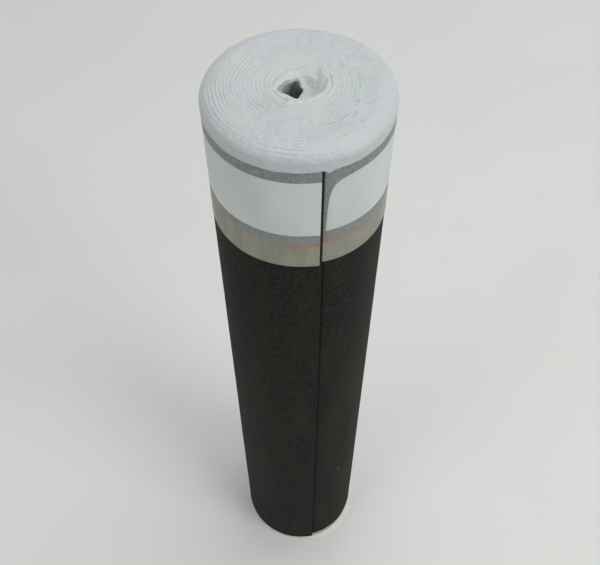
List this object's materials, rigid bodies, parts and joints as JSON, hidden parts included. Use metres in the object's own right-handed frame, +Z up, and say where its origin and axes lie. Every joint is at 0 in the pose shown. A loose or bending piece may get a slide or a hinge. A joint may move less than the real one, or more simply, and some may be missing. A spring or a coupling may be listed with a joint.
{
  "type": "roll of roofing felt",
  "caption": "Coreless roll of bituminous roofing felt on its end, with white film gathered at both ends and a plain wrapper band near the top.",
  "frame": {"origin": "on the floor at the axis of the bore, under the squashed edge of the film", "axes": "+Z up along the roll's axis, and -Y towards the front, where the seam runs down a little to the right of the middle"},
  "size_m": [0.2042, 0.2062, 1.029],
  "materials": {
    "felt": "matte",
    "film": "satin",
    "wrapper": "satin"
  },
  "bodies": {
    "root": {"membrane_roll": "felt", "release_film": "film", "wrapper_band": "wrapper"}
  },
  "joints": []
}
